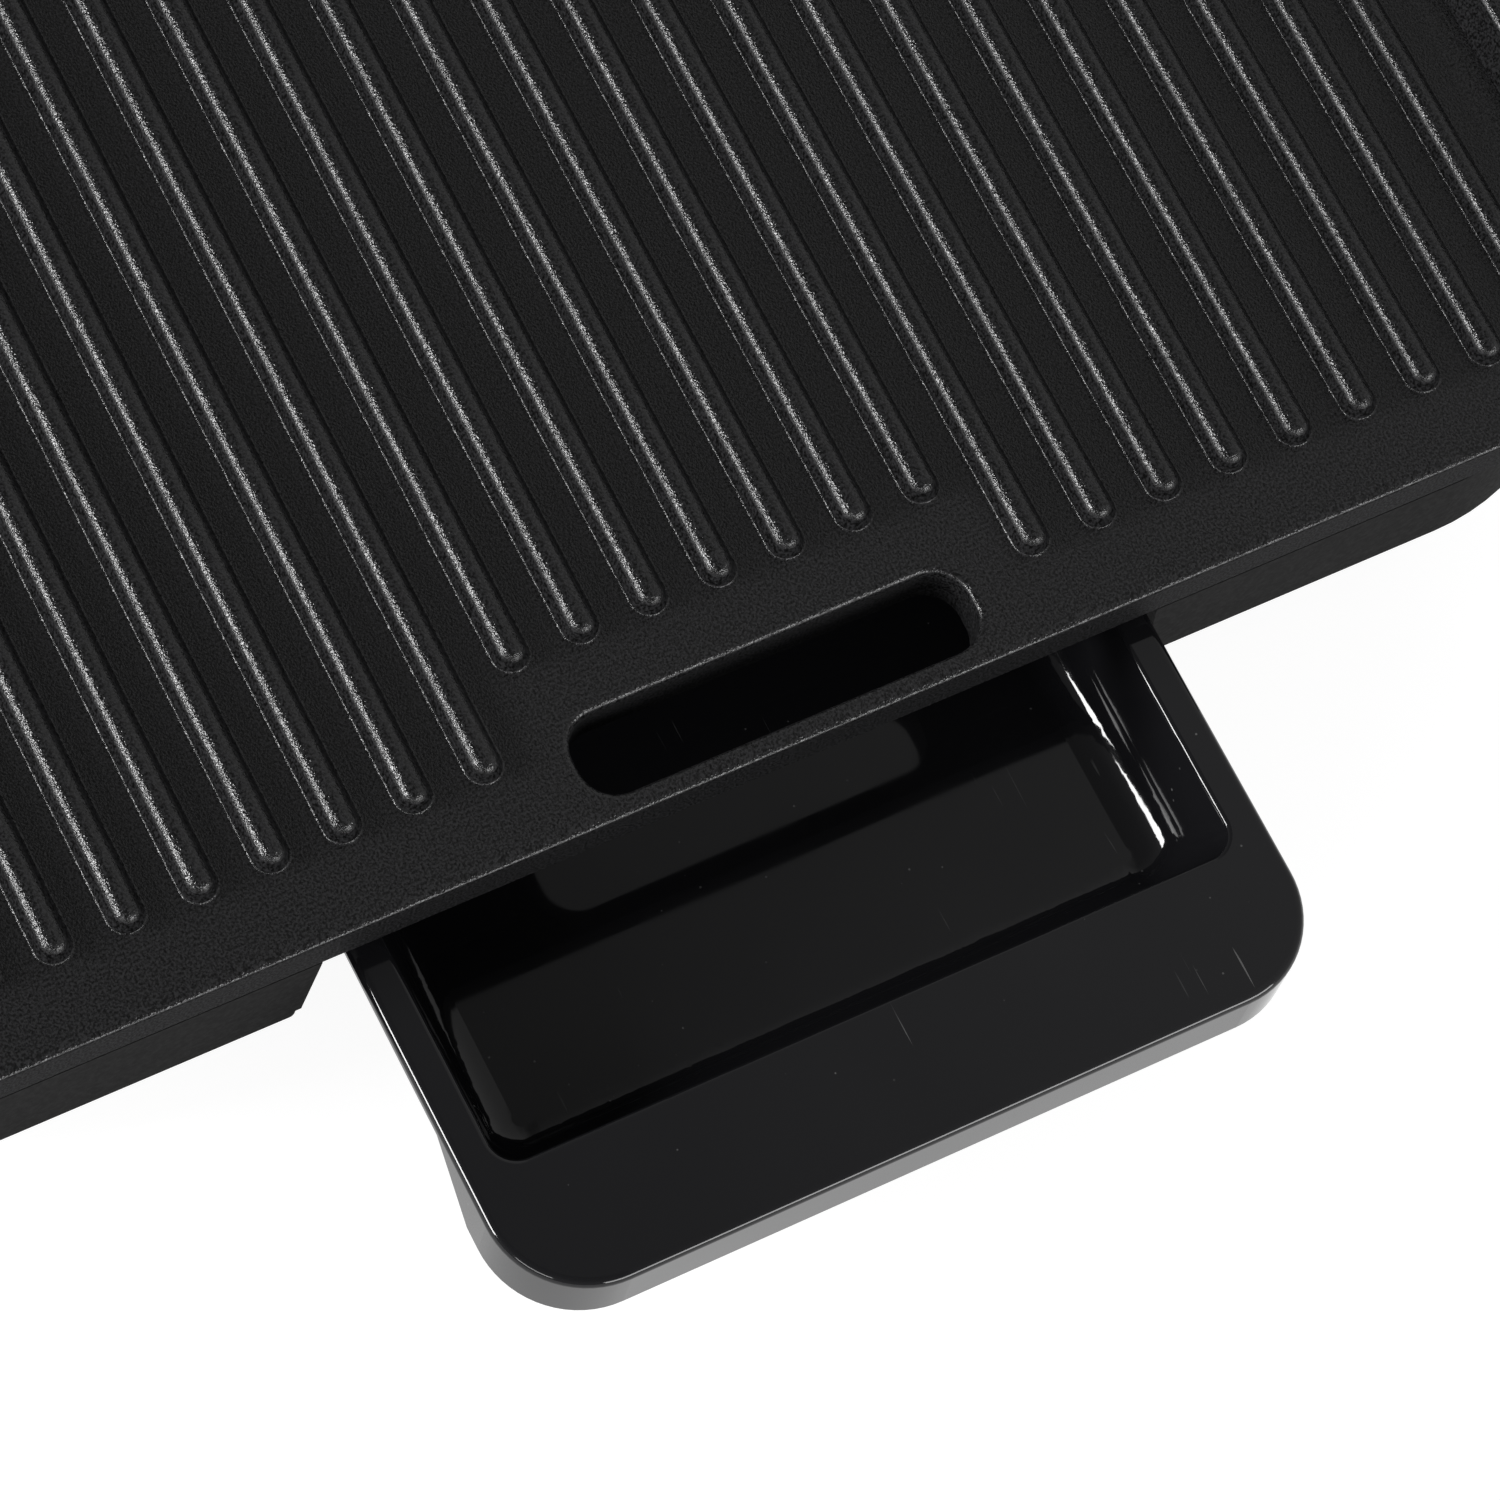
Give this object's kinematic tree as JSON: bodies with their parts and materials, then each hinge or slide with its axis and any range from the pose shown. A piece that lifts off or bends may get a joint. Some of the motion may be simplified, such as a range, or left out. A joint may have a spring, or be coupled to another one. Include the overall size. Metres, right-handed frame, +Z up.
{
  "type": "electric griddle",
  "caption": "Tabletop electric griddle with a ribbed cast plate, drain slot, slide-out drip tray, plastic base with side handles and plug-in temperature controller.",
  "frame": {"origin": "on the table, under the middle of the plate, which is the bottom centre of the whole part's box", "axes": "+Z up, +Y towards the back (controller side), +X to the user's right; the drip tray pulls out along -Y"},
  "size_m": [0.514, 0.4398, 0.0717],
  "materials": {
    "nonstick_cast": "textured black non-stick coating on cast aluminium",
    "base_plastic": "fine matt dark grey moulding",
    "tray_gloss": "polished black moulding",
    "element_sheath": "dark annealed tube sheath",
    "plated_pins": "bright nickel plate",
    "ceramic": "glazed white ceramic",
    "sheet_steel": "rolled zinc-coated sheet",
    "screw_steel": "zinc plated",
    "reflector_sheet": "bright rolled aluminised sheet",
    "handle_plastic": "fine matt black moulding",
    "controller_plastic": "fine spark-eroded black moulding",
    "phenolic": "dark brown phenolic",
    "contact_brass": "stamped brass and bronze",
    "lamp_glass": "clear neon envelope",
    "pilot_red": "red translucent lens",
    "gland_rubber": "soft black moulding",
    "foot_rubber": "matt black rubber",
    "dial_plastic": "satin black moulding",
    "dial_mark": "white inlaid pointer line"
  },
  "bodies": {
    "base": {"base_frame": "base_plastic", "heat_reflector": "reflector_sheet", "reflector_screws": "screw_steel", "tray_rail_left": "sheet_steel", "tray_rail_right": "sheet_steel", "tray_rail_left_rivets": "screw_steel", "tray_rail_right_rivets": "screw_steel", "handle_left": "handle_plastic", "handle_right": "handle_plastic", "handle_screws": "screw_steel", "foot_screws": "screw_steel", "rubber_foot_front_left": "foot_rubber", "rubber_foot_front_right": "foot_rubber", "rubber_foot_back_left": "foot_rubber", "rubber_foot_back_right": "foot_rubber", "plate_support_bush_front_left": "phenolic", "plate_support_bush_front_right": "phenolic", "plate_support_bush_back_left": "phenolic", "plate_support_bush_back_right": "phenolic"},
    "plate": {"griddle_plate": "nonstick_cast", "heating_element": "element_sheath", "terminal_pins": "plated_pins", "terminal_insulators": "ceramic", "terminal_shroud": "sheet_steel", "shroud_screws": "screw_steel"},
    "tray": {"drip_tray": "tray_gloss"},
    "controller": {"controller_housing_lower": "controller_plastic", "controller_housing_upper": "controller_plastic", "controller_housing_screws": "screw_steel", "probe_carrier": "phenolic", "contact_sockets": "contact_brass", "probe_rod": "plated_pins", "thermostat_bracket": "sheet_steel", "bimetal_blade": "contact_brass", "blade_insulators": "ceramic", "contact_blades": "contact_brass", "spindle_bush": "contact_brass", "pilot_lamp": "lamp_glass", "pilot_lens": "pilot_red", "cord_gland": "gland_rubber"},
    "dial": {"temperature_dial": "dial_plastic", "dial_pointer": "dial_mark", "dial_spindle": "plated_pins"}
  },
  "joints": [
    {"name": "tray_slide", "type": "slide", "parent": "base", "child": "tray", "axis": [0, -1, 0], "range_m": [-0.048, 0.055]},
    {"name": "plate_lift", "type": "slide", "parent": "base", "child": "plate", "axis": [0, 0, 1], "range_m": [0, 0.06]},
    {"name": "controller_unplug", "type": "slide", "parent": "plate", "child": "controller", "axis": [0, 1, 0], "range_m": [0, 0.08]},
    {"name": "dial_turn", "type": "hinge", "parent": "controller", "child": "dial", "pos_m": [0.095, 0.175, 0.06], "axis": [0, 0, -1], "range_deg": [0, 270]}
  ]
}
